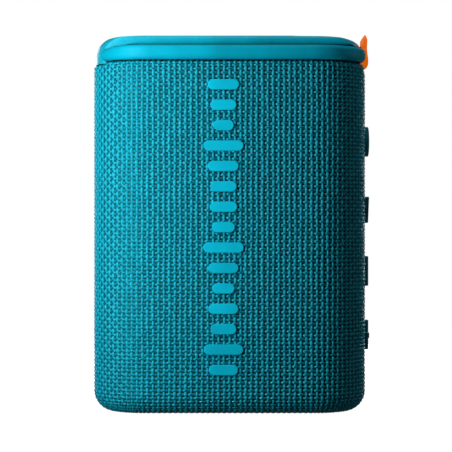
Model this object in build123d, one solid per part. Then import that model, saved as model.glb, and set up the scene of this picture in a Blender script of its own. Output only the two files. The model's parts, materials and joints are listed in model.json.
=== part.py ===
"""Portable speaker: fabric-wrapped upright block with a carry strap, four side keys and a rear charging port.

Units are millimetres. +Z is up, the front faces -Y, and the origin is the centre of the footprint.
"""
import os
from math import cos, radians, sin

from build123d import *

# ---- driving dimensions -------------------------------------------------
WIDTH, DEPTH, CORNER = 90.0, 46.0, 18.0
FABRIC, WALL = 1.2, 2.2
FOOT_TOP, FABRIC_BOTTOM, CORE_BOTTOM = 0.6, 0.3, 1.7
CORE_TOP, FABRIC_TOP = 113.2, 114.8
RING_BOTTOM, RING_TOP, RING_BULGE = 115.3, 120.2, 0.4
BASE_ROUND, LIP_ROUND = 6.5, 2.8
FOOT_WIDTH, FOOT_DEPTH = 72.0, 28.0
NECK_INSET = 4.5
RING_ROUND, SHOULDER_X, SHOULDER_LONG, SHOULDER_FALL = 1.6, -33.0, 13.6, 5.6

STRAP_TOP, STRAP_WIDTH, STRAP_LEG, STRAP_ROUND, STRAP_INSET = 124.0, 30.0, 1.5, 7.0, 0.5
STRAP_UNDER, STRAP_END, STRAP_FOOT = RING_TOP + 0.3, 43.6, 114.65
STRAP_EDGE, EDGE_FADE = 1.6, 8.0
SOFT_GAP = 0.3
ANCHOR_X, ANCHOR_Z, ANCHOR_PIN = -43.75, 115.4, 0.9
CLIP_X, CLIP_Z, CLIP_PIN, CLIP_WIDTH, CLIP_HUB = 44.75, 120.9, 0.7, 16.0, 0.8
KNUCKLE = 7.6

SPEAKER_Z = 64.0
GRILLE_D, WELL_D, MOUTH_D, COLLAR_D = 54.0, 52.0, 44.0, 60.0
GRILLE_T, GRILLE_HOLE, GRILLE_PITCH = 1.5, 3.0, 4.4
FRONT_LEDGE, REAR_LEDGE, LEDGE_T = 14.5, 16.0, 2.0
FLANGE_D, FLANGE_T, RIM_SCREW_R = 51.6, 1.2, 24.1
CONE_D, COIL_D, GASKET_T = 37.0, 21.4, 0.8

KEY_HEIGHTS = {"power": 89.7, "play": 66.5, "minus": 46.3, "plus": 24.9}
KEY_SIZE, KEY_PROUD, KEY_NECK, KEY_FLANGE = 10.0, 1.6, 11.0, 13.0
BOARD_X, BOARD_T, SWITCH_H, PLUNGER_D = 34.0, 1.2, 3.0, 3.0

CELL_D, CELL_LENGTH, CELL_X, CELL_Y, CELL_Z = 18.4, 65.2, -0.6, -6.0, 17.0
MAIN_Y, MAIN_T, MAIN_WIDTH, MAIN_Z0, MAIN_Z1 = 10.0, 1.6, 56.0, 7.5, 33.0
PORT_Z, PORT_FRAME, PORT_POCKET = 20.0, (20.0, 11.0), (16.6, 8.6)
FLAP_T, FLAP_PIN = 1.8, 0.8
RUN = 0.03

BAR_COUNT, BAR_PITCH, BAR_T, BAR_PROUD = 15, 6.6, 3.4, 0.6
BAR_X, BAR_Z0, BAR_SHORT, BAR_LONG = -2.0, 14.8, 5.5, 13.5

SIDE = WIDTH / 2 - FABRIC
FACE = DEPTH / 2 - FABRIC
INNER_SIDE = SIDE - WALL
INNER_FACE = FACE - WALL
SHELL_SCREWS = [(37, 11), (-37, 11), (-37, 58), (37, 105), (-37, 105)]
CAP_SCREWS = [(30, 12), (-30, 12), (30, -12), (-30, -12)]
BASE_SCREWS = [(25, 8), (-25, 8), (25, -8), (-25, -8)]
MAIN_SCREWS = [(24.5, 10.5), (-24.5, 10.5), (24.5, 30), (-24.5, 30)]
CRADLE_SCREWS = [(26, 30.5), (-26, 30.5)]
BOARD_POSTS = [35.6, 78.0]
PORT_Y = FACE - 0.8


# ---- shape helpers ------------------------------------------------------
def layer(inset, z0, z1, low=0.0, high=0.0):
    """Rounded block following the plan outline, with rounded bottom and top edges."""
    plan = RectangleRounded(WIDTH - 2 * inset, DEPTH - 2 * inset, CORNER - inset)
    solid = Pos(0, 0, z0) * extrude(plan, z1 - z0)
    if low:
        solid = fillet(solid.edges().group_by(Axis.Z)[0], low)
    if high:
        solid = fillet(solid.edges().group_by(Axis.Z)[-1], high)
    return solid


def span(x0, x1, y0, y1, z0, z1):
    """Box given by its limits."""
    return Pos((x0 + x1) / 2, (y0 + y1) / 2, (z0 + z1) / 2) * Box(x1 - x0, y1 - y0, z1 - z0)


def rod_x(y, z, d, x0, x1):
    return Pos((x0 + x1) / 2, y, z) * Rot(0, 90, 0) * Cylinder(d / 2, x1 - x0)


def rod_y(x, z, d, y0, y1):
    return Pos(x, (y0 + y1) / 2, z) * Rot(90, 0, 0) * Cylinder(d / 2, abs(y1 - y0))


def rod_z(x, y, d, z0, z1):
    return Pos(x, y, (z0 + z1) / 2) * Cylinder(d / 2, z1 - z0)


def ring_y(outer, inner, y0, y1, z=SPEAKER_Z):
    return rod_y(0, z, outer, y0, y1) - rod_y(0, z, inner, y0, y1)


def turned_y(points, z=SPEAKER_Z):
    """Solid of revolution about a Y axis from (radius, y) points."""
    outline = make_face(Polyline(*[(r, y) for r, y in points], close=True))
    return Pos(0, 0, z) * revolve(outline, Axis.Y)


def screw(head_d, head_h, shank_d, length):
    """Screw with its head above z = 0, pointing down, with a cross recess."""
    body = Pos(0, 0, head_h / 2) * Cylinder(head_d / 2, head_h)
    body += Pos(0, 0, -length / 2) * Cylinder(shank_d / 2, length)
    for angle in (0, 90):
        body -= Pos(0, 0, head_h) * Rot(0, 0, angle) * Box(head_d * 0.6, head_d * 0.16, head_h)
    return body


def group(items):
    return Compound(children=list(items))


def rim_angles():
    return [45, 135, 225, 315]


def rim_points():
    return [(RIM_SCREW_R * cos(radians(a)), SPEAKER_Z + RIM_SCREW_R * sin(radians(a))) for a in rim_angles()]


def right_plane(x, z):
    """Plane on the right side, its normal outwards."""
    return Plane(origin=(x, 0, z), x_dir=(0, 1, 0), z_dir=(1, 0, 0))


# ---- side key symbols ---------------------------------------------------
def triangle():
    half = KEY_SIZE * 0.47
    return make_face(Polyline((-half, half), (half, half), (0, -half), close=True))


def symbol(name):
    arm = KEY_SIZE * 0.2
    if name == "power":
        return Circle(KEY_SIZE / 2)
    if name == "play":
        return fillet(triangle().vertices(), 0.5)
    bar = RectangleRounded(arm, KEY_SIZE, 0.5)
    if name == "minus":
        return bar
    return bar + Rot(0, 0, 90) * RectangleRounded(arm, KEY_SIZE, 0.5)


def key(name):
    z = KEY_HEIGHTS[name]
    top = WIDTH / 2 + KEY_PROUD
    neck_top = SIDE - SOFT_GAP
    flange_in = INNER_SIDE - 1.4
    solid = right_plane(neck_top, z) * extrude(symbol(name), top - neck_top)
    solid = fillet(solid.faces().sort_by(Axis.X)[-1].edges(), 0.35)
    if name == "power":
        mark = Circle(2.6) - Circle(1.9) - Pos(0, 2.4) * Rectangle(2.2, 2.4)
        mark += Pos(0, 2.2) * Rectangle(0.7, 2.6)
        solid -= right_plane(top - 0.3, z) * extrude(mark, 1)
    neck = RectangleRounded(KEY_NECK, KEY_NECK, 2)
    solid += right_plane(flange_in, z) * extrude(neck, neck_top - flange_in)
    flange = RectangleRounded(KEY_FLANGE, KEY_FLANGE, 2.5)
    solid += right_plane(flange_in, z) * extrude(flange, 1.2)
    return solid + rod_x(0, z, 4, BOARD_X + BOARD_T + SWITCH_H + 1.2, flange_in)


def plunger(name):
    x0 = BOARD_X + BOARD_T + 1.7
    return rod_x(0, KEY_HEIGHTS[name], PLUNGER_D, x0, BOARD_X + BOARD_T + SWITCH_H + 1.2)


def switch_case(z):
    x0 = BOARD_X + BOARD_T
    case = span(x0, x0 + SWITCH_H, -3, 3, z - 3, z + 3)
    return case - rod_x(0, z, PLUNGER_D + 0.1, x0 + 1.0, x0 + SWITCH_H)


# ---- shells -------------------------------------------------------------
def core():
    return layer(FABRIC, CORE_BOTTOM, CORE_TOP, BASE_ROUND - FABRIC, LIP_ROUND - FABRIC)


def cavity():
    inset = FABRIC + WALL
    return layer(inset, CORE_BOTTOM + WALL, CORE_TOP - WALL, BASE_ROUND - inset)


def add_well(shell, sign, ledge):
    """Round well with a ledge for a driver or a radiator, and a step for the grille."""
    shell += rod_y(0, SPEAKER_Z, COLLAR_D, sign * (ledge - LEDGE_T), sign * (FACE - WALL / 2))
    shell -= rod_y(0, SPEAKER_Z, WELL_D, sign * ledge, sign * (FACE + 1))
    shell -= rod_y(0, SPEAKER_Z, MOUTH_D, sign * (ledge - LEDGE_T - 1), sign * (FACE + 1))
    shell -= rod_y(0, SPEAKER_Z, GRILLE_D, sign * (FACE - GRILLE_T), sign * (FACE + 1))
    for x, z in rim_points():
        shell -= rod_y(x, z, 1.6, sign * (ledge - LEDGE_T - 1), sign * (ledge + 1))
    return shell


def half(sign):
    """One moulded half of the sealed box, with the bosses both halves share."""
    side = span(-60, 60, min(0, sign * 40), max(0, sign * 40), -1, 130)
    outer = core() & side
    shell = outer - cavity()
    for x, z in SHELL_SCREWS:
        shell += rod_y(x, z, 6.4, 0, sign * FACE) & outer
    for x, y in CAP_SCREWS + BASE_SCREWS:
        if y * sign > 0:
            z0, z1 = (CORE_TOP - 10, CORE_TOP - WALL) if (x, y) in CAP_SCREWS else (CORE_BOTTOM + WALL, 6.2)
            shell += rod_z(x, y, 5.4, z0, z1)
    for z in KEY_HEIGHTS.values():
        hole = RectangleRounded(KEY_NECK + 0.1, KEY_NECK + 0.1, 2.05)
        shell -= right_plane(INNER_SIDE - 1, z) * extrude(hole, 5)
    return shell


def drill_caps(shell):
    for x, y in CAP_SCREWS:
        shell -= rod_z(x, y, 2.0, CORE_TOP - 9.5, CORE_TOP + 1)
    for x, y in BASE_SCREWS:
        shell -= rod_z(x, y, 2.0, CORE_BOTTOM - 1, 5.9)
    return shell


def front_shell():
    shell = add_well(half(-1), -1, FRONT_LEDGE)
    for x, z in SHELL_SCREWS:
        shell -= rod_y(x, z, 2.2, -9, 0)
    for x, z in CRADLE_SCREWS:
        shell += rod_y(x, z, 5, -FACE + WALL / 2, -14.6)
        shell -= rod_y(x, z, 2.0, -19.5, -14)
    return drill_caps(shell)


def rear_shell():
    shell = add_well(half(1), 1, REAR_LEDGE)
    for x, z in SHELL_SCREWS:
        shell -= rod_y(x, z, 2.2, -1, 30)
        shell -= rod_y(x, z, 4.8, 10, 30)
    for x, z in MAIN_SCREWS:
        shell += rod_y(x, z, 5, MAIN_Y + MAIN_T, FACE - WALL / 2)
        shell -= rod_y(x, z, 2.0, MAIN_Y, 18)
    for z in BOARD_POSTS:
        post = rod_x(4, z, 4.6, BOARD_X + BOARD_T, SIDE - WALL / 2)
        shell += post & core()
        shell -= rod_x(4, z, 1.6, BOARD_X, 40)
    width, height = PORT_FRAME
    shell -= span(-width / 2, width / 2, FACE - WALL - 1, FACE + 1, PORT_Z - height / 2, PORT_Z + height / 2)
    shell -= shell_gasket()
    return drill_caps(shell)


def shell_gasket():
    """Cord seal in a groove of the rear half, all round the joint."""
    outer = layer(FABRIC + 0.7, CORE_BOTTOM + 0.7, CORE_TOP - 0.7, BASE_ROUND - FABRIC - 0.7)
    inner = layer(FABRIC + 1.5, CORE_BOTTOM + 1.5, CORE_TOP - 1.5, BASE_ROUND - FABRIC - 1.5)
    loop = (outer - inner) & span(-60, 60, 0, 0.8, 0, 120)
    for z in KEY_HEIGHTS.values():
        loop -= span(INNER_SIDE - 1, 46, -1, 2, z - 6.2, z + 6.2)
    return loop


def shell_screw(x, z):
    return Pos(x, 10, z) * Rot(-90, 0, 0) * screw(4.4, 1.6, 2.2, 18.5)


# ---- fabric, foot and front bars ---------------------------------------
def fabric_sleeve():
    """Woven cover from under the ring to the foot, with windows for the keys and the port."""
    sleeve = layer(0, FABRIC_BOTTOM, FABRIC_TOP, BASE_ROUND, LIP_ROUND) - core()
    sleeve -= layer(NECK_INSET, CORE_TOP - 1, FABRIC_TOP + 1)
    sleeve -= base_outline(-1, CORE_BOTTOM + 0.5)
    for name, z in KEY_HEIGHTS.items():
        window = offset(symbol(name), SOFT_GAP)
        sleeve -= right_plane(SIDE - 1, z) * extrude(window, 4)
    width, height = PORT_FRAME
    sleeve -= span(-width / 2, width / 2, FACE - 1, FACE + 3, PORT_Z - height / 2, PORT_Z + height / 2)
    sleeve -= span(-60, -38, -STRAP_WIDTH / 2 - 0.5, STRAP_WIDTH / 2 + 0.5, STRAP_FOOT - 0.4, FABRIC_TOP + 1)
    return sleeve - span(43.6, 60, -CLIP_WIDTH / 2 - 0.6, CLIP_WIDTH / 2 + 0.6, 112.8, FABRIC_TOP + 1)


def base_outline(z0, z1):
    return Pos(0, 0, z0) * extrude(RectangleRounded(FOOT_WIDTH, FOOT_DEPTH, 9), z1 - z0)


def base_plate():
    plate = base_outline(FOOT_TOP, CORE_BOTTOM)
    for x, y in BASE_SCREWS:
        plate -= rod_z(x, y, 2.0, 0, 3)
        plate -= rod_z(x, y, 4.0, 0, FOOT_TOP + 0.5)
    return plate


def base_screw(x, y):
    return Pos(x, y, FOOT_TOP + 0.5) * Rot(180, 0, 0) * screw(4.0, 0.5, 2.0, 4.5)


def foot_pad():
    pad = base_outline(0, FOOT_TOP)
    for row in (-9, -3, 3, 9):
        pad -= span(-FOOT_WIDTH / 2 + 8, FOOT_WIDTH / 2 - 8, row - 1, row + 1, -1, 0.2)
    return pad


def bar_length(index):
    """Lengths rise and fall along the column like a sound level."""
    wave = 0.5 + 0.5 * sin(1.9 * index) * cos(0.55 * index)
    return BAR_SHORT + (BAR_LONG - BAR_SHORT) * wave


def front_bars():
    """Column of raised rounded level bars on the front of the fabric."""
    bars = []
    for index in range(BAR_COUNT):
        plan = RectangleRounded(bar_length(index), BAR_T, BAR_T / 2 - 0.01)
        plane = Plane(origin=(BAR_X, -DEPTH / 2, BAR_Z0 + index * BAR_PITCH), x_dir=(1, 0, 0), z_dir=(0, -1, 0))
        bar = plane * extrude(plan, BAR_PROUD)
        bars.append(fillet(bar.faces().sort_by(Axis.Y)[0].edges(), 0.25))
    return group(bars)


# ---- grilles, driver and passive radiator ------------------------------
def grille(sign):
    """Perforated disc that carries the fabric over a well."""
    holes = HexLocations(GRILLE_PITCH / 2, 11, 11)
    sketch = Circle(GRILLE_D / 2)
    limit = GRILLE_D / 2 - GRILLE_HOLE
    spots = [spot for spot in holes if spot.position.length < limit]
    sketch -= [spot * Circle(GRILLE_HOLE / 2) for spot in spots]
    plane = Plane(origin=(0, sign * FACE, SPEAKER_Z), x_dir=(1, 0, 0), z_dir=(0, -sign, 0))
    return plane * extrude(sketch, GRILLE_T)


def rim_screws(seat, sign):
    turn = Rot(90, 0, 0) if sign < 0 else Rot(-90, 0, 0)
    return group(Pos(x, sign * seat, z) * turn * screw(3.0, 0.9, 1.6, 3.8) for x, z in rim_points())


def drill_rim(solid):
    for x, z in rim_points():
        solid -= rod_y(x, z, 1.6, -30, 30)
    return solid


def driver_gasket():
    return drill_rim(ring_y(FLANGE_D, MOUTH_D, -FRONT_LEDGE - GASKET_T, -FRONT_LEDGE))


def basket_cone(extra):
    """Solid cone inside the basket wall, grown by the given amount."""
    back = -FRONT_LEDGE + 11.5
    return turned_y([(0, -15.3), (20.8 + extra, -15.3), (14 + extra, back), (0, back)])


def driver_basket():
    seat = -FRONT_LEDGE - GASKET_T
    back = -FRONT_LEDGE + 11.5
    frame = basket_cone(1.0) - basket_cone(0)
    frame += ring_y(FLANGE_D, 41.6, seat - FLANGE_T, seat)
    frame += ring_y(30, 23, back, back + 1.2)
    for angle in (0, 90, 180, 270):
        window = Pos(0, 0, SPEAKER_Z) * Rot(0, angle, 0) * Pos(18, -9, 0) * Box(16, 6, 12)
        frame -= window
    return drill_rim(frame)


def driver_surround():
    """Rolled rubber edge on the basket flange."""
    seat = -FRONT_LEDGE - GASKET_T - FLANGE_T
    inner, outer = CONE_D / 2 + SOFT_GAP, 22.4
    roll = (inner + 21) / 2
    points = [(outer, seat), (outer, seat - 0.5), (21, seat - 0.5), (roll + 0.5, seat - 1.6)]
    points += [(roll - 0.5, seat - 1.6), (inner, seat - 0.5), (inner, seat), (roll - 0.4, seat - 1.0)]
    points += [(roll + 0.4, seat - 1.0), (20.8, seat)]
    return turned_y(points)


def driver_spider():
    disc = ring_y(40, COIL_D + 2 * SOFT_GAP, -6.4, -6.0)
    return disc & basket_cone(0)


def driver_cone():
    rim, neck = CONE_D / 2, COIL_D / 2
    front, back = -FRONT_LEDGE - GASKET_T - FLANGE_T, -8.5
    return turned_y([(rim, front), (rim, front + 0.6), (neck, back), (neck - 0.6, back), (neck - 0.6, back - 0.6),
                     (rim - 1, front)])


def dust_cap():
    dome = Pos(0, -1.6, SPEAKER_Z) * (Sphere(13.4) - Sphere(12.9))
    dome &= rod_y(0, SPEAKER_Z, COIL_D - 1.3, -20, -8.5)
    return dome - driver_cone()


def voice_coil():
    return ring_y(COIL_D, COIL_D - 1.2, -8.5, 2.2)


def driver_yoke():
    back = -FRONT_LEDGE + 12.7
    return rod_y(0, SPEAKER_Z, 28, back, back + 8.5) - rod_y(0, SPEAKER_Z, 23, back, back + 6)


def driver_magnet():
    return rod_y(0, SPEAKER_Z, 18, 0.2, 4.2)


def pole_plate():
    return rod_y(0, SPEAKER_Z, 19, -1.8, 0.2)


def radiator_frame():
    return drill_rim(ring_y(FLANGE_D, 42, REAR_LEDGE, REAR_LEDGE + 1.4))


def radiator_surround():
    seat = REAR_LEDGE + 1.4
    points = [(22.4, seat), (22.4, seat + 0.5), (21.2, seat + 0.5), (19.4, seat + 2.0), (17.6, seat + 2.0)]
    points += [(15.3, seat + 0.4), (15.3, seat - 0.1), (17.8, seat + 1.4), (19.2, seat + 1.4), (20.9, seat)]
    return turned_y(points)


def radiator_plate():
    return rod_y(0, SPEAKER_Z, 30, REAR_LEDGE + 0.8, REAR_LEDGE + 2.2)


def radiator_weight():
    return rod_y(0, SPEAKER_Z, 16, REAR_LEDGE - 2.2, REAR_LEDGE + 0.8)


# ---- battery and electronics -------------------------------------------
def battery_cell():
    x0 = CELL_X - CELL_LENGTH / 2
    cell = rod_x(CELL_Y, CELL_Z, CELL_D, x0, x0 + CELL_LENGTH - 1)
    return cell + rod_x(CELL_Y, CELL_Z, 6, x0 + CELL_LENGTH - 1, x0 + CELL_LENGTH)


def battery_cradle():
    trough = rod_x(CELL_Y, CELL_Z, CELL_D + 3.1, -30, 30)
    for x, z in CRADLE_SCREWS:
        trough += span(x - 4, x + 4, -14.6, -12.6, CELL_Z + 4, z + 3)
        trough -= rod_y(x, z, 2.0, -20, -10)
    trough -= rod_x(CELL_Y, CELL_Z, CELL_D, -50, 50)
    return trough - span(-50, 50, CELL_Y + 4.5, 20, 0, 40)


def cradle_screw(x, z):
    return Pos(x, -12.6, z) * Rot(-90, 0, 0) * screw(3.6, 1.3, 2.0, 6.4)


def main_board():
    board = span(-MAIN_WIDTH / 2, MAIN_WIDTH / 2, MAIN_Y, MAIN_Y + MAIN_T, MAIN_Z0, MAIN_Z1)
    for x, z in MAIN_SCREWS:
        board -= rod_y(x, z, 2.0, MAIN_Y - 1, MAIN_Y + 3)
    return board


def main_screw(x, z):
    return Pos(x, MAIN_Y, z) * Rot(90, 0, 0) * screw(3.6, 1.3, 2.0, 7.5)


def board_parts():
    """Chips, coils and capacitors on the main board."""
    low = MAIN_Y - 1.2
    chips = [span(-16, -9, low, MAIN_Y, 22, 29), span(-3, 4, low, MAIN_Y, 23, 30), span(9, 14, low, MAIN_Y, 24, 29)]
    coils = [span(x, x + 5, MAIN_Y - 3, MAIN_Y, 13, 18) for x in (-17, -10)]
    cans = [rod_y(x, 14, 5, MAIN_Y - 5, MAIN_Y) for x in (10, 17)]
    return group(chips + coils + cans)


def usb_socket():
    x, z, y0 = 4.47, 1.63, MAIN_Y + MAIN_T
    body = span(-x, x, y0, PORT_Y - 0.2, PORT_Z - z, PORT_Z + z)
    body = fillet(body.edges().filter_by(Axis.Y), 1.5)
    body -= span(-x + 0.35, x - 0.35, y0 + 2, PORT_Y + 1, PORT_Z - z + 0.35, PORT_Z + z - 0.35)
    return body + span(-3.3, 3.3, y0 + 1.5, PORT_Y - 1, PORT_Z - 0.35, PORT_Z + 0.35)


def key_board():
    board = span(BOARD_X, BOARD_X + BOARD_T, -7, 7, 16, 100)
    for z in BOARD_POSTS:
        board -= rod_x(4, z, 1.6, BOARD_X - 1, BOARD_X + 3)
    return board


def key_board_screw(z):
    return Pos(BOARD_X, 4, z) * Rot(0, -90, 0) * screw(3.0, 1.1, 1.6, 5.5)


def lead(points, d, radii):
    """Insulated wire along straight runs joined by tangent arcs."""
    path = FilletPolyline(*points, radius=radii)
    return sweep(Plane(origin=path @ 0, z_dir=path % 0) * Circle(d / 2), path)


def battery_leads():
    """One lead from each end of the cell, round its side and back to the main board."""
    leads = []
    for side in (1, -1):
        x, z = CELL_X + side * (CELL_LENGTH / 2 + 1.1), CELL_Z
        points = [(x, CELL_Y, z), (x, 3.2, z + 1), (side * 31.8, 6.8, z + 2.5), (side * 26, 9.3, z + 4)]
        leads.append(lead(points, 1.2, (4, 4)))
    return group(leads)


def driver_leads():
    points = [(0, 9.4, 27), (0, 7.4, 34), (0, 3, 40.5), (1, -2.5, 48)]
    return group(Pos(x, 0, 0) * lead(points, 1.0, (8, 12)) for x in (-21, -18))


def key_ribbon():
    path = [(33.8, 5.5), (32.6, 8), (27.8, 9.6)]
    back = [(27.8, 9.9), (32.8, 8.3), (33.95, 5.6)]
    return Pos(0, 0, 22) * extrude(make_face(Polyline(*path, *back, close=True)), 6)


# ---- charging port ------------------------------------------------------
def hinge_z():
    return PORT_Z - PORT_POCKET[1] / 2 + 1.2


def port_frame():
    width, height = PORT_FRAME
    frame = span(-width / 2, width / 2, FACE - WALL, DEPTH / 2, PORT_Z - height / 2, PORT_Z + height / 2)
    width, height = PORT_POCKET
    frame -= span(-width / 2, width / 2, PORT_Y, 30, PORT_Z - height / 2, PORT_Z + height / 2)
    frame -= span(-4.7, 4.7, 10, 30, PORT_Z - 1.85, PORT_Z + 1.85)
    frame -= rod_x(DEPTH / 2 - 0.9, hinge_z(), FLAP_PIN + 2 * RUN, -9.2, 9.2)
    return frame - rod_y(0, PORT_Z + height / 2, 5, DEPTH / 2 - 1, DEPTH / 2 + 1)


def port_flap():
    """Rubber flap that turns down about its lower edge."""
    width, height = PORT_POCKET[0] - 2 * SOFT_GAP, PORT_POCKET[1] / 2 - SOFT_GAP
    y1 = DEPTH / 2
    flap = span(-width / 2, width / 2, y1 - FLAP_T, y1, hinge_z(), PORT_Z + height)
    flap += rod_x(y1 - 0.9, hinge_z(), 1.8, -width / 2, width / 2)
    flap += span(-2, 2, y1 - 0.9, y1 + 0.5, PORT_Z + height - 1.4, PORT_Z + height)
    return flap - flap_pin()


def flap_pin():
    return rod_x(DEPTH / 2 - 0.9, hinge_z(), FLAP_PIN, -9, 9)


# ---- top cap, strap and clip -------------------------------------------
def strap_bed():
    """Inner form that the strap lies on, over the top and down the left side."""
    depth = STRAP_LEG + SOFT_GAP
    return layer(STRAP_INSET + depth, 100, STRAP_UNDER - SOFT_GAP, 0, STRAP_ROUND - depth)


def ring_block():
    """Solid ring block whose top falls away at the left end, under the strap, with its rim rounded all round."""
    block = layer(-RING_BULGE, RING_BOTTOM, RING_TOP, 2.0)
    shoulder_z = RING_TOP - SHOULDER_FALL
    arch = Plane.XZ * (Pos(SHOULDER_X, shoulder_z) * Ellipse(SHOULDER_LONG, SHOULDER_FALL))
    block -= span(-60, SHOULDER_X, -30, 30, shoulder_z, RING_TOP + 1) - Pos(0, 30, 0) * extrude(arch, 60)

    def on_rim(edge):
        level = abs(edge.tangent_at(0.5).Z) < 0.9
        return level and edge.center().Z > RING_TOP - 2 and abs(edge.center().X - SHOULDER_X) > 0.01

    return fillet(block.edges().filter_by(on_rim), RING_ROUND)


def top_cap():
    cap = ring_block()
    half_width = STRAP_WIDTH / 2 + SOFT_GAP
    cap -= span(-60, -20, -half_width, half_width, 112, 121) - strap_bed()
    cap -= span(43.0, 60, -CLIP_WIDTH / 2 - 0.8, CLIP_WIDTH / 2 + 0.8, 112, 121)
    cap += layer(NECK_INSET, CORE_TOP, RING_BOTTOM + 0.5)
    cap -= layer(NECK_INSET + 2.5, CORE_TOP, RING_BOTTOM + 1.8)
    for x, y in CAP_SCREWS:
        cap += rod_z(x, y, 6.4, CORE_TOP, RING_TOP - 1)
    cap += span(ANCHOR_X, -42, -3, 3, ANCHOR_Z - 0.6, ANCHOR_Z + 1.2)
    cap += rod_y(ANCHOR_X, ANCHOR_Z, 1.5, -3, 3) & span(-50, -40, -3, 3, ANCHOR_Z - 0.6, 120)
    cap -= top_inlay()
    for x, y in CAP_SCREWS:
        cap -= rod_z(x, y, 4.4, RING_TOP - 2.3, RING_TOP)
        cap -= rod_z(x, y, 2.0, CORE_TOP - 1, RING_TOP)
    return cap - rod_y(ANCHOR_X, ANCHOR_Z, ANCHOR_PIN + 2 * RUN, -4, 4)


def top_inlay():
    return Pos(0, 0, RING_TOP - 0.8) * extrude(RectangleRounded(72, 34, 10), 0.8)


def cap_screw(x, y):
    return Pos(x, y, RING_TOP - 2.3) * screw(4.4, 1.4, 2.0, 13.0)


def strap_profile():
    """Side outline of the strap: it slopes gently at the left and thins to a round nose at the clip."""
    nose = (STRAP_END, STRAP_UNDER + 0.5)
    right = Spline((20, STRAP_TOP), (32, STRAP_TOP - 0.3), (39, STRAP_TOP - 1.2), (42.6, STRAP_TOP - 2.4), nose)
    under = Polyline(nose, (STRAP_END, STRAP_UNDER), (0, STRAP_UNDER), (0, 110), (-60, 110), (-60, STRAP_TOP - 5))
    left = Spline((-45, STRAP_TOP - 1.8), (-38, STRAP_TOP - 0.6), (-26, STRAP_TOP), tangents=((3, 1), (1, 0)))
    close = Polyline((-60, STRAP_TOP - 5), (-45, STRAP_TOP - 1.8))
    face = Plane.XZ * make_face(right + under + close + left + Line((-26, STRAP_TOP), (20, STRAP_TOP)))
    return extrude(face, STRAP_WIDTH / 2, both=True)


def strap_ends():
    """Plan outline that rounds the strap's free end."""
    plan = Pos(-20, 0) * RectangleRounded(2 * (STRAP_END + 20), STRAP_WIDTH, 6)
    return Pos(0, 0, 110) * extrude(plan, 20)


def edge_trim(side, z, inward, x0):
    """Sliver that rounds a long edge of the strap, fading in from x0; inward is the direction into the strap."""
    y, r = side * STRAP_WIDTH / 2, STRAP_EDGE
    ys, zs = sorted((y - side * r, y + side)), sorted((z - inward, z + inward * r))
    keep = rod_x(y - side * r, z + inward * r, 2 * r, x0 - 1, 51)
    keep += Pos(x0 + EDGE_FADE / 2, y - side * r, z + inward * r) * Rot(0, 90, 0) * Cone(1.5 * r, r, EDGE_FADE)
    return span(x0, 50, *ys, *zs) - keep


def strap():
    leg = STRAP_INSET + STRAP_LEG
    outer = layer(STRAP_INSET, STRAP_FOOT, STRAP_TOP, 0, STRAP_ROUND)
    band = outer & strap_profile() & strap_ends()
    band -= layer(leg, 100, STRAP_UNDER, 0, STRAP_ROUND - STRAP_LEG)
    band -= layer(leg - 0.4, 100, STRAP_FOOT + 0.45)
    for side in (-1, 1):
        band -= edge_trim(side, STRAP_TOP, -1, -60)
        band -= edge_trim(side, STRAP_UNDER, 1, -38)
    band -= span(-50, -40, -3 - SOFT_GAP, 3 + SOFT_GAP, 110, ANCHOR_Z + 1.6)
    band += rod_y(CLIP_X, CLIP_Z, 2 * CLIP_HUB, -KNUCKLE / 2, KNUCKLE / 2)
    band += span(STRAP_END - 2, CLIP_X, -KNUCKLE / 2, KNUCKLE / 2, STRAP_UNDER, CLIP_Z + 0.4)
    return band - clip_pin() - strap_pin()


def strap_pin():
    return rod_y(ANCHOR_X, ANCHOR_Z, ANCHOR_PIN, -6.5, 6.5)


def clip_pin():
    return rod_y(CLIP_X, CLIP_Z, CLIP_PIN, -CLIP_WIDTH / 2 + 1.2, CLIP_WIDTH / 2 - 1.2)


def clip_outline():
    """Side outline of the pull clip: tab above, hook below."""
    tip, foot, waist = (44.97, 125.0), (44.8, 113.3), (44.65, 119.8)
    outer = Spline(tip, (45.42, 124.3), (45.6, 120.5), (46.0, 116.6), (45.75, 114.4), foot)
    hook = Spline(foot, (44.05, 113.8), (43.95, 114.55), (44.6, 114.9), (44.8, 116.2), waist)
    inner = Spline(waist, (44.5, 122), (44.55, 124.3), tip)
    return make_face(outer + hook + inner)


def clip():
    plate = extrude(Plane.XZ * clip_outline(), CLIP_WIDTH / 2, both=True)
    plate += rod_y(CLIP_X, CLIP_Z, 2 * CLIP_HUB, -CLIP_WIDTH / 2, CLIP_WIDTH / 2)
    outline = Pos(0, 0, 119) * Rot(0, 90, 0) * extrude(RectangleRounded(12.2, CLIP_WIDTH, 2.5), 60)
    plate &= outline
    gap = KNUCKLE / 2 + SOFT_GAP
    plate -= span(40, 48, -gap, gap, CLIP_Z - 1.2, CLIP_Z + 1.2)
    bore = CLIP_WIDTH / 2 - 1
    return plate - rod_y(CLIP_X, CLIP_Z, CLIP_PIN + 2 * RUN, -bore, bore)


# ---- the list of nodes --------------------------------------------------
def housing_nodes():
    return {
        "front_shell": front_shell(),
        "rear_shell": rear_shell(),
        "shell_gasket": shell_gasket(),
        "shell_screws": group(shell_screw(x, z) for x, z in SHELL_SCREWS),
        "fabric_sleeve": fabric_sleeve(),
        "front_bars": front_bars(),
        "base_plate": base_plate(),
        "base_screws": group(base_screw(x, y) for x, y in BASE_SCREWS),
        "foot_pad": foot_pad(),
        "top_cap": top_cap(),
        "top_inlay": top_inlay(),
        "cap_screws": group(cap_screw(x, y) for x, y in CAP_SCREWS),
    }


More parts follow.
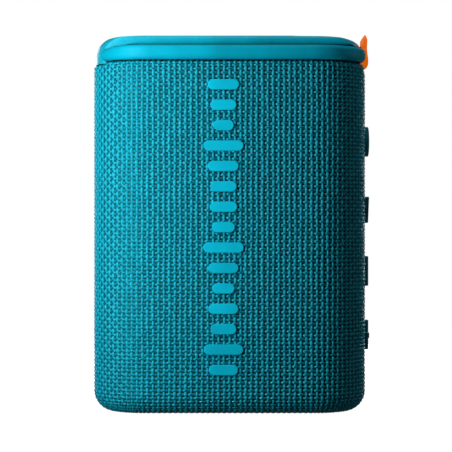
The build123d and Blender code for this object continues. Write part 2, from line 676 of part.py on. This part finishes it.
def sound_nodes():
    return {
        "front_grille": grille(-1),
        "driver_gasket": driver_gasket(),
        "driver_basket": driver_basket(),
        "driver_surround": driver_surround(),
        "driver_spider": driver_spider(),
        "driver_yoke": driver_yoke(),
        "driver_magnet": driver_magnet(),
        "pole_plate": pole_plate(),
        "driver_screws": rim_screws(FRONT_LEDGE + GASKET_T + FLANGE_T, -1),
        "driver_cone": driver_cone(),
        "dust_cap": dust_cap(),
        "voice_coil": voice_coil(),
        "rear_grille": grille(1),
        "radiator_frame": radiator_frame(),
        "radiator_surround": radiator_surround(),
        "radiator_screws": rim_screws(REAR_LEDGE + 1.4, 1),
        "radiator_plate": radiator_plate(),
        "radiator_weight": radiator_weight(),
    }


def power_nodes():
    return {
        "battery_cell": battery_cell(),
        "battery_cradle": battery_cradle(),
        "cradle_screws": group(cradle_screw(x, z) for x, z in CRADLE_SCREWS),
        "battery_leads": battery_leads(),
        "driver_leads": driver_leads(),
        "main_board": main_board(),
        "board_parts": board_parts(),
        "main_screws": group(main_screw(x, z) for x, z in MAIN_SCREWS),
        "usb_socket": usb_socket(),
        "port_frame": port_frame(),
        "port_flap": port_flap(),
        "flap_pin": flap_pin(),
    }


def control_nodes():
    nodes = {
        "key_board": key_board(),
        "key_ribbon": key_ribbon(),
        "key_board_screws": group(key_board_screw(z) for z in BOARD_POSTS),
        "switch_cases": group(switch_case(z) for z in KEY_HEIGHTS.values()),
    }
    for name in KEY_HEIGHTS:
        nodes["key_" + name] = key(name)
        nodes["plunger_" + name] = plunger(name)
    return nodes


def strap_nodes():
    return {"strap": strap(), "strap_pin": strap_pin(), "clip": clip(), "clip_pin": clip_pin()}


def main():
    os.makedirs("parts", exist_ok=True)
    makers = (housing_nodes, sound_nodes, power_nodes, control_nodes, strap_nodes)
    for maker in makers:
        for name, solid in maker().items():
            export_step(solid, os.path.join("parts", name + ".step"))


main()
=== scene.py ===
import json
import math

import bpy
import numpy as np
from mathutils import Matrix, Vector


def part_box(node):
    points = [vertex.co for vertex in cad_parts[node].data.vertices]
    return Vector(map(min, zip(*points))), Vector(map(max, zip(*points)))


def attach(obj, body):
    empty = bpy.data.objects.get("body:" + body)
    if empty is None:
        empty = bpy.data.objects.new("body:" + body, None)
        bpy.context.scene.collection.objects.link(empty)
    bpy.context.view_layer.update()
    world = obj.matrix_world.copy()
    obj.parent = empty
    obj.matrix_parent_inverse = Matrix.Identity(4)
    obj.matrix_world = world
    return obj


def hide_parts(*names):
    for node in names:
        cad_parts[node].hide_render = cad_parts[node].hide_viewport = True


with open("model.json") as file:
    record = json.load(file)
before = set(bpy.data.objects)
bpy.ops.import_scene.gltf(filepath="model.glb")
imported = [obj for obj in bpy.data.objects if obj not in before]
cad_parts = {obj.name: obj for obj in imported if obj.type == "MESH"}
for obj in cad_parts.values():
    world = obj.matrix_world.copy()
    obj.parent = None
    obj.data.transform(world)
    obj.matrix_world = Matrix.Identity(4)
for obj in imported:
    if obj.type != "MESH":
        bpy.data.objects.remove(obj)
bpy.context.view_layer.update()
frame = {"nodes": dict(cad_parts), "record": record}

nodes = frame["nodes"]
MM = 0.001

# Lengths are in metres, unless a comment says otherwise.
# ---- sleeve: plan outline and profile ---------------------------------------
WIDTH, DEPTH, CORNER = 90 * MM, 46 * MM, 18 * MM
BASE_ROUND, LIP_ROUND, LIP_RISE = 6.5 * MM, 2.0 * MM, 0.3 * MM
HEM_INSET, FOOT_INSET, HEM_DEPTH = 4.5 * MM, 8.95 * MM, 0.8 * MM

# ---- openings in the sleeve --------------------------------------------------
KEY_SIZE, KEY_ROUND, GAP = 10 * MM, 0.5 * MM, 0.3 * MM
KEY_ARM, KEY_TIP = KEY_SIZE * 0.1, KEY_SIZE * 0.47
PORT_ROUND, PORT_GAP = 0.2 * MM, 0.05 * MM
FAR = 1.0

# Where the strap or the clip presses in, PRESSED_RELIEF is the share of the relief that stays, and the cloth
# comes back at RELEASE_SLOPE.
STRAP_REACH = 3.5 * MM
PRESSED_RELIEF, RELEASE_SLOPE = 0.7, 1.5

# ---- weave: yarn counts and mesh steps for each yarn -------------------------
COLUMNS, ROWS = 136, 98
U_STEPS, V_STEPS = 8, 6

# Half widths are in yarn pitches. A higher WEFT_STEP makes the weft's crests flatter. FLOOR is the level
# of the backing between the yarns, and the highest yarns stand PROUD of the plan outline.
WARP_HALF, WEFT_HALF = 0.22, 0.29
WARP_CRIMP, WARP_T = 0.24 * MM, 0.26 * MM
WEFT_CRIMP, WEFT_T, WEFT_STEP = 0.28 * MM, 0.18 * MM, 1.3
FLOOR = -0.24 * MM
PROUD = 0.2 * MM

# Yarns wander sideways by WANDER pitches, at these radians for each yarn crossed, and differ in thickness.
WANDER, WARP_RATE, WEFT_RATE = 0.05, 0.37, 0.31
PHASE_RANGE, YARN_SPREAD, THICK_YARN = 6.28, 0.03, 1.05

# The weft's crest value runs from SHOULDER, on its way up or down, to 1 where it lies flat, and its flats
# get painted shade, darker by WEFT_SHADE.
SHOULDER, WEFT_SHADE = 0.3, 0.7

# ---- studio ------------------------------------------------------------------
AMBIENT, BACKDROP, FLOOR_GLOW = 0.04, 1.0, 0.97
FLOOR_HALF = 3.0
CAMERA_AT, CAMERA_LENS, SENSOR = (-1.2 * MM, -600 * MM, 61.4 * MM), 142.1, 36

SLEEVE_LOW, SLEEVE_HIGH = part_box("fabric_sleeve")
SLEEVE_HIGH.z += LIP_RISE
HALF_BACK = WIDTH / 2 - CORNER
HALF_SIDE = DEPTH / 2 - CORNER
QUARTER = math.pi / 2 * CORNER
AROUND = 4 * (HALF_BACK + HALF_SIDE) + 4 * QUARTER
LEFT_MIDDLE = HALF_BACK + QUARTER + HALF_SIDE
RIGHT_MIDDLE = AROUND - LEFT_MIDDLE

rng = np.random.default_rng(11)


# ---- node helpers -----------------------------------------------------------
def socket(node, name):
    """The enabled input of that name, since some nodes have several of one name."""
    return next(s for s in node.inputs if s.name == name and s.enabled)


class Surface:
    """One Principled material and short ways to drive its sockets."""

    def __init__(self, name, color, roughness=0.5, **constants):
        self.material = bpy.data.materials.new(name)
        self.material.use_nodes = True
        self.tree = self.material.node_tree
        self.shader = self.tree.nodes["Principled BSDF"]
        self.color = (*color, 1.0)
        self.set("Base Color", self.color)
        self.set("Roughness", roughness)
        for key, value in constants.items():
            self.set(key.replace("_", " "), value)

    def set(self, name, value):
        """Sets a constant on the shader's own socket."""
        self.shader.inputs[name].default_value = value

    def node(self, kind, values=None, **settings):
        """Adds a node; values are its inputs by name or number, each a constant or another node's output."""
        made = self.tree.nodes.new("ShaderNode" + kind)
        for key, value in settings.items():
            setattr(made, key, value)
        for key, value in (values or {}).items():
            given = made.inputs[key] if isinstance(key, int) else socket(made, key)
            if isinstance(value, bpy.types.NodeSocket):
                self.tree.links.new(value, given)
            else:
                given.default_value = value
        return made

    def feed(self, name, value):
        self.tree.links.new(value, self.shader.inputs[name])

    def place(self, stretch=(1, 1, 1)):
        """Coordinates that stay with the mesh, in metres, stretched by a factor along each axis."""
        at = self.node("TexCoord").outputs["Object"]
        return self.node("Mapping", {"Vector": at, "Scale": stretch}).outputs["Vector"]

    def noise(self, size, detail=3.0, stretch=(1, 1, 1), rough=0.55):
        """Noise from 0 to 1 whose spots are about size across, in metres."""
        values = {"Vector": self.place(stretch), "Scale": 1 / size, "Detail": detail, "Roughness": rough}
        return self.node("TexNoise", values).outputs[0]

    def remap(self, value, low, high, to_low, to_high):
        """Runs from to_low to to_high as value goes from low to high, and is held at both ends."""
        ranges = (value, low, high, to_low, to_high)
        return self.node("MapRange", dict(enumerate(ranges))).outputs[0]

    def mix(self, factor, a, b, blend="MIX"):
        values = {"Factor": factor, "A": a, "B": b}
        return self.node("Mix", values, data_type="RGBA", blend_type=blend).outputs["Result"]

    def tint(self, factor, dark, light):
        """Base colour that runs from dark to light times the slot's colour."""
        low = tuple(c * dark for c in self.color[:3]) + (1.0,)
        high = tuple(min(1.0, c * light) for c in self.color[:3]) + (1.0,)
        return self.mix(factor, low, high)

    def bump(self, height, depth, strength=1.0, under=None):
        values = {"Height": height, "Distance": depth, "Strength": strength}
        if under:
            values["Normal"] = under
        return self.node("Bump", values).outputs["Normal"]


# ---- materials --------------------------------------------------------------
def moulded(name, color, roughness, grain=0.25 * MM, depth=0.01 * MM, spread=0.10, crevice_shade=0.0,
            **constants):
    """Moulded plastic or rubber: fine grain, faint cloudiness, patches of polish and, on request, painted
    shade in narrow gaps and hollows.
    """
    s = Surface(name, color, roughness, **constants)
    cloud = s.noise(9 * MM, 2.0)
    base = s.tint(s.remap(cloud, 0.3, 0.7, 0, 1), 1 - spread, 1 + spread)
    if crevice_shade:
        # Painted shade: the colour is taken towards black where ambient occlusion finds other surfaces
        # within that reach.
        open_sky = s.node("AmbientOcclusion", {"Distance": crevice_shade}, samples=6).outputs["AO"]
        base = s.mix(s.remap(open_sky, 0.35, 0.8, 0, 1), (0, 0, 0, 1), base)
    s.feed("Base Color", base)
    fine = s.noise(grain, 4.0)
    wear = s.noise(3 * MM, 5.0, rough=0.7)
    s.feed("Roughness", s.remap(wear, 0.3, 0.75, roughness - 0.07, roughness + 0.09))
    s.feed("Normal", s.bump(fine, depth))
    return s.material


def glowing(name, color):
    """Translucent moulded plastic; its emission stands for the light that it gathers from all round."""
    return moulded(name, color, 0.38, Specular_IOR_Level=0.3, Subsurface_Weight=0.6, Subsurface_Scale=2 * MM,
                   Emission_Color=(1.0, 0.18, 0.002, 1.0), Emission_Strength=0.55)


def brushed(name, color, roughness, stretch=(1, 1, 12)):
    """Plated or machined metal with fine drag marks."""
    s = Surface(name, color, roughness, Metallic=1.0)
    marks = s.noise(0.4 * MM, 4.0, stretch)
    s.feed("Base Color", s.tint(s.remap(marks, 0.3, 0.7, 0, 1), 0.85, 1.1))
    s.feed("Roughness", s.remap(marks, 0.3, 0.7, roughness - 0.06, roughness + 0.12))
    s.feed("Normal", s.bump(marks, 0.006 * MM))
    return s.material


def fibrous(name, color, roughness, size=0.35 * MM):
    """Paper, foam or stiffened cloth: matted fibres."""
    s = Surface(name, color, roughness, Sheen_Weight=0.3)
    fibres = s.noise(size, 6.0, rough=0.75)
    s.feed("Base Color", s.tint(s.remap(fibres, 0.3, 0.7, 0, 1), 0.7, 1.25))
    s.feed("Normal", s.bump(fibres, 0.05 * MM))
    return s.material


def circuit(name, color):
    """Solder mask with faint copper traces under it."""
    s = Surface(name, color, 0.35, Coat_Weight=0.3)
    bricks = {"Vector": s.place(), "Scale": 1 / (9 * MM), "Mortar Size": 0.03}
    traces = s.node("TexBrick", bricks).outputs["Fac"]
    s.feed("Base Color", s.tint(traces, 1.0, 1.6))
    s.feed("Normal", s.bump(traces, 0.02 * MM))
    return s.material


def woven(name, color):
    """Cloth whose yarns are in the mesh: this adds their colour, painted shade in the hollows and on the
    weft's flat crests, twist and gloss.
    """
    s = Surface(name, color, 0.5, Specular_IOR_Level=0.55, Specular_Tint=(0.3, 1.0, 0.95, 1.0))
    height = s.node("Attribute", attribute_name="height").outputs["Fac"]
    crest = s.node("Attribute", attribute_name="crest").outputs["Fac"]
    # Painted shade: the colour darkens towards the hollows between the yarns and is a little lighter on the
    # crests.
    shade = s.remap(height, 0.12, 0.55, 0.0, 1.0)
    base = s.tint(shade, 0.22, 1.12)
    yarns = s.noise(1.4 * MM, 2.0, (1, 1, 0.25))
    uneven = s.mix(s.remap(yarns, 0.35, 0.65, 0.0, 1.0), (0.80, 0.86, 0.88, 1), (1, 1, 1, 1))
    colored = s.mix(1.0, base, uneven, "MULTIPLY")
    # Painted shade: the weft's flat crests are darkened by up to WEFT_SHADE, its shoulders much less.
    weft_crest_shade = s.remap(crest, SHOULDER, 1.0, 0.0, WEFT_SHADE)
    s.feed("Base Color", s.mix(weft_crest_shade, colored, (0, 0, 0, 1)))
    strands = {"Vector": s.place((1, 1, 0.55)), "Scale": 1 / (0.5 * MM), "Distortion": 2.0, "Detail": 2.0}
    twist = s.node("TexWave", strands, bands_direction="DIAGONAL").outputs["Fac"]
    fluff = s.noise(0.16 * MM, 3.0)
    twisted = s.bump(twist, 0.02 * MM, 0.6)
    s.feed("Normal", s.bump(fluff, 0.02 * MM, 0.6, twisted))
    dull = s.remap(height, 0.3, 0.6, 0.9, 0.5)
    weft_polish = s.remap(crest, 0.0, SHOULDER, 0.0, 0.25)
    gloss = s.node("Math", {0: dull, 1: weft_polish}, operation="SUBTRACT").outputs[0]
    uneven_gloss = s.remap(fluff, 0.3, 0.7, -0.04, 0.04)
    s.feed("Roughness", s.node("Math", {0: gloss, 1: uneven_gloss}).outputs[0])
    return s.material


SLOT_COLORS = {
    "fabric_teal": (0.002, 0.40, 0.55),
    "strap_teal": (0.003, 0.52, 0.70),
    "cap_teal": (0.001, 0.42, 0.60),
    "key_teal": (0.004, 0.30, 0.38),
    "bars_cyan": (0.002, 0.56, 0.78),
    "clip_orange": (0.95, 0.15, 0.003),
}


def make_materials():
    """One material for each of the record's slots."""
    c = SLOT_COLORS
    satin = {"Specular_IOR_Level": 0.06}
    return {
        "fabric_teal": woven("woven cover", c["fabric_teal"]),
        "strap_teal": moulded("strap silicone", c["strap_teal"], 0.30, crevice_shade=1.3 * MM,
                              Specular_IOR_Level=0.25),
        "cap_teal": moulded("ring satin plastic", c["cap_teal"], 0.45, grain=0.35 * MM, crevice_shade=1.5 * MM,
                            **satin),
        "key_teal": moulded("key rubber", c["key_teal"], 0.5, **satin),
        "bars_cyan": moulded("raised bars", c["bars_cyan"], 0.5, **satin),
        "clip_orange": glowing("clip orange", c["clip_orange"]),
        "inlay_rubber": moulded("inlay rubber", (0.02, 0.05, 0.06), 0.6),
        "foot_rubber": moulded("foot rubber", (0.02, 0.06, 0.07), 0.65, spread=0.2),
        "seal_rubber": moulded("seal rubber", (0.03, 0.03, 0.03), 0.6),
        "foam": fibrous("gasket foam", (0.05, 0.05, 0.05), 0.9),
        "shell_plastic": moulded("shell plastic", (0.035, 0.04, 0.042), 0.5, grain=0.6 * MM,
                                 depth=0.02 * MM),
        "screw_steel": brushed("screw steel", (0.42, 0.42, 0.43), 0.35),
        "plated_steel": brushed("plated steel", (0.62, 0.62, 0.60), 0.28),
        "basket_steel": brushed("basket steel", (0.12, 0.12, 0.125), 0.45),
        "copper": brushed("copper wire", (0.72, 0.33, 0.16), 0.35, (1, 12, 1)),
        "cone_paper": fibrous("cone paper", (0.05, 0.05, 0.052), 0.85),
        "spider_cloth": fibrous("spider cloth", (0.45, 0.30, 0.12), 0.9),
        "cell_wrap": moulded("cell wrap", (0.02, 0.16, 0.30), 0.3, grain=1.5 * MM),
        "wire_red": moulded("lead insulation", (0.45, 0.02, 0.02), 0.4),
        "ribbon": moulded("ribbon cable", (0.55, 0.32, 0.08), 0.35),
        "board_green": circuit("board mask", (0.01, 0.09, 0.045)),
        "chip_black": moulded("chip resin", (0.02, 0.02, 0.022), 0.45),
    }


def paint_nodes(materials):
    """Gives every CAD node the material of its slot."""
    for part in frame["record"]["subparts"]:
        mesh = nodes[part["node"]].data
        mesh.materials.clear()
        mesh.materials.append(materials[part["material_slot"]])


# ---- sleeve geometry --------------------------------------------------------
def outline(along, inset):
    """Point and outward normal of the plan outline at a distance along it from the back's middle."""
    along = np.mod(along, AROUND)
    radius = CORNER - inset
    x, y = np.zeros_like(along), np.zeros_like(along)
    nx, ny = np.zeros_like(along), np.zeros_like(along)
    start, heading = 0.0, math.pi
    corner = [(-1, 1), (-1, -1), (1, -1), (1, 1)]
    runs = [HALF_BACK, 2 * HALF_SIDE, 2 * HALF_BACK, 2 * HALF_SIDE, HALF_BACK]
    shares_before_middle = [0, 0.5, 0.5, 0.5, 1]
    for step, (run, share) in enumerate(zip(runs, shares_before_middle)):
        facing = heading - math.pi / 2
        outward = (math.cos(facing), math.sin(facing))
        reach = along - start - run * share
        on = (along >= start) & (along <= start + run)
        wall = abs(outward[0]) * WIDTH / 2 + abs(outward[1]) * DEPTH / 2 - inset
        x = np.where(on, outward[0] * wall + math.cos(heading) * reach, x)
        y = np.where(on, outward[1] * wall + math.sin(heading) * reach, y)
        nx, ny = np.where(on, outward[0], nx), np.where(on, outward[1], ny)
        start += run
        if step == len(corner):
            break
        turned = facing + (along - start) / CORNER
        on = (along > start) & (along < start + QUARTER)
        middle = (corner[step][0] * HALF_BACK, corner[step][1] * HALF_SIDE)
        x = np.where(on, middle[0] + radius * np.cos(turned), x)
        y = np.where(on, middle[1] + radius * np.sin(turned), y)
        nx, ny = np.where(on, np.cos(turned), nx), np.where(on, np.sin(turned), ny)
        start += QUARTER
        heading += math.pi / 2
    return np.stack([x, y], -1), np.stack([nx, ny], -1)


def profile_runs():
    """Lengths along the cloth from foot to groove: flat, lower bend, wall, lip's bend and hem."""
    wall = SLEEVE_HIGH.z - LIP_ROUND - SLEEVE_LOW.z - BASE_ROUND
    bend, lip = BASE_ROUND * math.pi / 2, LIP_ROUND * math.pi / 2
    return [FOOT_INSET - BASE_ROUND, bend, wall, lip, HEM_INSET - LIP_ROUND]


def profile(up):
    """Inset, height and upward tilt of the outward normal at a distance up the profile."""
    flat, bend, wall, lip, _ = profile_runs()
    a = np.clip((up - flat) / BASE_ROUND, 0, math.pi / 2)
    b = np.clip((up - flat - bend - wall) / LIP_ROUND, 0, math.pi / 2)
    inset = BASE_ROUND * (1 - np.sin(a)) + LIP_ROUND * (1 - np.cos(b))
    inset += np.clip(flat - up, 0, None) + np.clip(up - flat - bend - wall - lip, 0, None)
    height = SLEEVE_LOW.z + BASE_ROUND * (1 - np.cos(a)) + np.clip(up - flat - bend, 0, wall)
    height = height + LIP_ROUND * np.sin(b)
    return inset, height, a - math.pi / 2 + b


TALL = sum(profile_runs())
FOOT_TO_WALL = sum(profile_runs()[:2])
WALL_Z = SLEEVE_LOW.z + BASE_ROUND
COLUMN_PITCH, ROW_PITCH = AROUND / COLUMNS, TALL / ROWS
WARP_PHASE = rng.uniform(0, PHASE_RANGE, COLUMNS)
WEFT_PHASE = rng.uniform(0, PHASE_RANGE, ROWS + 1)
WARP_SIZE = rng.normal(1, YARN_SPREAD, COLUMNS)
WEFT_SIZE = rng.normal(1, YARN_SPREAD, ROWS + 1)
TOP = WARP_CRIMP + WARP_T * THICK_YARN


def relief(column, row):
    """Height of a plain weave over its mid plane, and how far a point is on a flat crest of the weft."""
    i, j = np.rint(column), np.rint(row)
    warp_i, weft_j = i.astype(int) % COLUMNS, np.clip(j.astype(int), 0, ROWS)
    phase, size = WARP_PHASE[warp_i], WARP_SIZE[warp_i]
    side = WANDER * np.sin(row * WARP_RATE + phase)
    across = np.clip(np.abs(column - i - side) / (WARP_HALF * size), 0, 1)
    warp = WARP_CRIMP * np.cos(np.pi * (row + i)) + WARP_T * size * np.sqrt(1 - across**2)
    rise = WANDER * np.sin(column * WEFT_RATE + WEFT_PHASE[weft_j])
    over = np.clip(np.abs(row - j - rise) / (WEFT_HALF * WEFT_SIZE[weft_j]), 0, 1)
    wave = np.tanh(WEFT_STEP * np.cos(np.pi * (column + j))) / math.tanh(WEFT_STEP)
    weft = -WEFT_CRIMP * wave + WEFT_T * WEFT_SIZE[weft_j] * np.sqrt(1 - over**2)
    warp = np.where(across < 1, warp, FLOOR)
    weft = np.where(over < 1, weft, FLOOR)
    crest = np.where(warp >= weft, 0.0, SHOULDER + (1 - SHOULDER) * wave**2)
    return np.maximum(np.maximum(warp, weft), FLOOR), crest


def box_distance(x, y, half_x, half_y, round_by):
    """Signed distance from a rectangle with rounded corners."""
    dx, dy = np.abs(x) - half_x + round_by, np.abs(y) - half_y + round_by
    outside = np.hypot(np.maximum(dx, 0), np.maximum(dy, 0))
    return outside + np.minimum(np.maximum(dx, dy), 0) - round_by


def key_distance(name, x, y):
    """Signed distance from a key's outline; x runs across the key and y up it."""
    half = KEY_SIZE / 2
    if name == "key_power":
        return np.hypot(x, y) - half
    if name == "key_play":
        slope = math.hypot(2, 1)
        return np.maximum(y - KEY_TIP, (2 * np.abs(x) - y - KEY_TIP) / slope)
    upright = box_distance(x, y, KEY_ARM, half, KEY_ROUND)
    if name == "key_minus":
        return upright
    return np.minimum(upright, box_distance(x, y, half, KEY_ARM, KEY_ROUND))


def window_distance(along, up):
    """Signed distance to the nearest opening in the cloth, laid flat."""
    z = up - FOOT_TO_WALL + WALL_Z
    nearest = np.full_like(along, FAR)
    for name in ("key_power", "key_play", "key_minus", "key_plus"):
        low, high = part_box(name)
        key = key_distance(name, along - RIGHT_MIDDLE, z - (low.z + high.z) / 2)
        nearest = np.minimum(nearest, key - GAP)
    low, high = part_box("port_frame")
    back = np.where(along > AROUND / 2, along - AROUND, along)
    middle, tall = (low.z + high.z) / 2, (high.z - low.z) / 2
    port = box_distance(back, z - middle, (high.x - low.x) / 2, tall, PORT_ROUND)
    return np.minimum(nearest, port - PORT_GAP)


def press(points, height):
    """Keeps the cloth clear of the strap's foot and of the clip's hook, which press into it."""
    x, y, z = points[..., 0], points[..., 1], points[..., 2]
    give = (height - TOP) * PRESSED_RELIEF
    low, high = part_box("strap")
    outside = np.maximum(np.abs(y) - high.y - GAP, x - low.x - STRAP_REACH)
    points[..., 2] = np.minimum(z, low.z - GAP + give + np.clip(outside, 0, None) * RELEASE_SLOPE)
    low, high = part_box("clip")
    outside = np.maximum(np.abs(y) - high.y - GAP, low.z - GAP - z)
    points[..., 0] = np.minimum(x, low.x - GAP + give + np.clip(outside, 0, None) * RELEASE_SLOPE)
    return points


def snap_to_windows(along, up):
    """Moves the points just inside an opening onto its edge, so that the edge is smooth."""
    step = 0.02 * MM
    for _ in range(2):
        here = window_distance(along, up)
        slope_a = (window_distance(along + step, up) - window_distance(along - step, up)) / (2 * step)
        slope_u = (window_distance(along, up + step) - window_distance(along, up - step)) / (2 * step)
        inside = here < 0
        along = np.where(inside, along - here * slope_a, along)
        up = np.where(inside, up - here * slope_u, up)
    return along, up


def sleeve_points(along, up, sunk=0.0):
    """Places of the cloth's points, with their relief heights and weft crests."""
    height, crest = relief(along / COLUMN_PITCH, up / ROW_PITCH)
    inset, z, tilt = profile(up)
    at, out = outline(along, inset)
    level = np.cos(tilt)
    normal = np.stack([out[..., 0] * level, out[..., 1] * level, np.sin(tilt)], -1)
    base = np.concatenate([at, z[..., None]], -1)
    depth = TOP - PROUD - height + sunk
    return press(base - normal * depth[..., None], height), height, crest


def edge_loops(faces):
    """Directed edges that only one face uses."""
    edges = np.concatenate([np.stack([faces[:, k], faces[:, (k + 1) % 4]], 1) for k in range(4)])
    key = np.sort(edges, axis=1)
    order = key[:, 0].astype(np.int64) * (key.max() + 1) + key[:, 1]
    _, first, count = np.unique(order, return_index=True, return_counts=True)
    return edges[first[count == 1]]


def grid_faces(across, tall):
    """Quads of a grid whose last column joins its first."""
    column, row = np.meshgrid(np.arange(across), np.arange(tall - 1))
    right = (column + 1) % across
    here, above = row * across, (row + 1) * across
    return np.stack([here + column, here + right, above + right, above + column], -1).reshape(-1, 4)


def build_sleeve(material):
    """The woven cover: a grid round the outline, cut at the openings and turned in at every edge."""
    across, tall = COLUMNS * U_STEPS, ROWS * V_STEPS + 1
    steps_along, steps_up = np.arange(across) * COLUMN_PITCH / U_STEPS, np.arange(tall) * ROW_PITCH / V_STEPS
    along, up = np.meshgrid(steps_along, steps_up)
    cut = window_distance(along, up) < 0
    snapped_along, snapped_up = snap_to_windows(along, up)
    points, height, crest = sleeve_points(snapped_along, snapped_up)
    faces = grid_faces(across, tall)
    faces = faces[~cut.ravel()[faces].all(axis=1)]
    points, height, crest = points.reshape(-1, 3), height.ravel(), crest.ravel()
    uv = np.stack([along / AROUND, up / TALL], -1).reshape(-1, 2)

    # Every open edge gets a strip of faces that turns inwards.
    border = edge_loops(faces)
    rim = np.unique(border)
    turned_in, _, _ = sleeve_points(snapped_along.ravel()[rim], snapped_up.ravel()[rim], HEM_DEPTH)
    place = np.full(len(points), -1)
    place[rim] = len(points) + np.arange(len(rim))
    hem = np.stack([border[:, 1], border[:, 0], place[border[:, 0]], place[border[:, 1]]], 1)
    points = np.concatenate([points, turned_in])
    # The turned-in hem takes the floor's height, so it also gets the cloth's painted shade of the hollows.
    height = np.concatenate([height, np.full(len(rim), FLOOR)])
    crest = np.concatenate([crest, np.zeros(len(rim))])
    uv = np.concatenate([uv, uv[rim]])
    faces = np.concatenate([faces, hem])

    # Points that no face uses are dropped.
    used, renumbered = np.unique(faces, return_inverse=True)
    faces = renumbered.reshape(-1, 4)
    points, height, crest, uv = points[used], height[used], crest[used], uv[used]
    return make_sleeve_mesh(points, faces, height, crest, uv, material)


def make_sleeve_mesh(points, faces, height, crest, uv, material):
    """Smooth quad mesh with its relief height, weft crests and a UV layer that wraps past 1."""
    mesh = bpy.data.meshes.new("cover")
    mesh.vertices.add(len(points))
    mesh.vertices.foreach_set("co", points.ravel())
    mesh.loops.add(faces.size)
    mesh.loops.foreach_set("vertex_index", faces.ravel())
    mesh.polygons.add(len(faces))
    mesh.polygons.foreach_set("loop_start", np.arange(len(faces)) * 4)
    mesh.update(calc_edges=True)
    mesh.polygons.foreach_set("use_smooth", np.ones(len(faces), bool))
    level = np.clip((height - FLOOR) / (TOP - FLOOR), 0, 1)
    for name, values in (("height", level), ("crest", crest)):
        mesh.attributes.new(name, "FLOAT", "POINT").data.foreach_set("value", values.astype(np.float32))
    corner_uv = uv[faces]
    wraps = corner_uv[..., 0].max(axis=1) - corner_uv[..., 0].min(axis=1) > 0.5
    across = corner_uv[wraps, :, 0]
    corner_uv[wraps, :, 0] = np.where(across < 0.5, across + 1, across)
    layer = mesh.uv_layers.new(name="OFBake")
    layer.data.foreach_set("uv", corner_uv.ravel())
    mesh.materials.append(material)
    mesh.validate()
    cover = bpy.data.objects.new("cover", mesh)
    bpy.context.scene.collection.objects.link(cover)
    return cover


# ---- stage, light and camera ------------------------------------------------
def area_light(name, place, aim, power, wide, tall):
    """Soft box of wide by tall, turned to face aim."""
    data = bpy.data.lights.new(name, "AREA")
    data.shape = "RECTANGLE"
    data.size = wide
    data.size_y = tall
    data.energy = power
    lamp = bpy.data.objects.new(name, data)
    lamp.location = place
    lamp.rotation_euler = (Vector(aim) - Vector(place)).to_track_quat("-Z", "Y").to_euler()
    lamp.visible_camera = False
    bpy.context.scene.collection.objects.link(lamp)


def make_stage():
    """Plain pale floor that lights nothing and shows in no reflection."""
    mesh = bpy.data.meshes.new("floor")
    corners = [(x * FLOOR_HALF, y * FLOOR_HALF, 0) for x, y in ((-1, -1), (1, -1), (1, 1), (-1, 1))]
    mesh.from_pydata(corners, [], [(0, 1, 2, 3)])
    s = Surface("floor paint", (0.8, 0.8, 0.8), 0.8)
    s.set("Emission Color", (1, 1, 1, 1))
    s.set("Emission Strength", FLOOR_GLOW)
    mesh.materials.append(s.material)
    floor = bpy.data.objects.new("floor", mesh)
    bpy.context.scene.collection.objects.link(floor)
    floor.visible_diffuse = False
    floor.visible_glossy = False


def make_world():
    """White backdrop behind the object, and a faint even light on it."""
    world = bpy.data.worlds.new("studio")
    bpy.context.scene.world = world
    world.use_nodes = True
    tree = world.node_tree
    background = tree.nodes["Background"]
    background.inputs["Color"].default_value = (1, 1, 1, 1)
    path = tree.nodes.new("ShaderNodeLightPath")
    strength = tree.nodes.new("ShaderNodeMapRange")
    strength.inputs["To Min"].default_value = AMBIENT
    strength.inputs["To Max"].default_value = BACKDROP
    tree.links.new(path.outputs["Is Camera Ray"], strength.inputs["Value"])
    tree.links.new(strength.outputs["Result"], background.inputs["Strength"])


def make_lights():
    """A near strip at the front left, and large boxes further off behind, above and to the right."""
    centre = (0, 0, 62 * MM)
    key_place, key_aim = (-65 * MM, -83 * MM, 78 * MM), (-27 * MM, -20 * MM, 68 * MM)
    area_light("key", key_place, key_aim, 0.136, 15 * MM, 190 * MM)
    area_light("left", (-150 * MM, 250 * MM, 90 * MM), centre, 0.2, 100 * MM, 200 * MM)
    area_light("top", (20 * MM, -60 * MM, 330 * MM), centre, 0.15, 160 * MM, 160 * MM)
    area_light("back", (120 * MM, 300 * MM, 90 * MM), centre, 0.4, 150 * MM, 200 * MM)
    area_light("right", (300 * MM, 40 * MM, 90 * MM), centre, 0.06, 120 * MM, 200 * MM)


def make_camera():
    """Camera straight in front of the object, at about half its height."""
    data = bpy.data.cameras.new("camera")
    data.sensor_width = SENSOR
    data.lens = CAMERA_LENS
    data.clip_start = 0.01
    data.clip_end = 20
    camera = bpy.data.objects.new("camera", data)
    camera.location = CAMERA_AT
    camera.rotation_euler = (math.pi / 2, 0, 0)
    bpy.context.scene.collection.objects.link(camera)
    bpy.context.scene.camera = camera


# ---- put together -----------------------------------------------------------
materials = make_materials()
paint_nodes(materials)
cover = build_sleeve(materials["fabric_teal"])
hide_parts("fabric_sleeve")
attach(cover, "speaker")
make_stage()
make_world()
make_lights()
make_camera()
bpy.context.scene.view_settings.view_transform = "Standard"
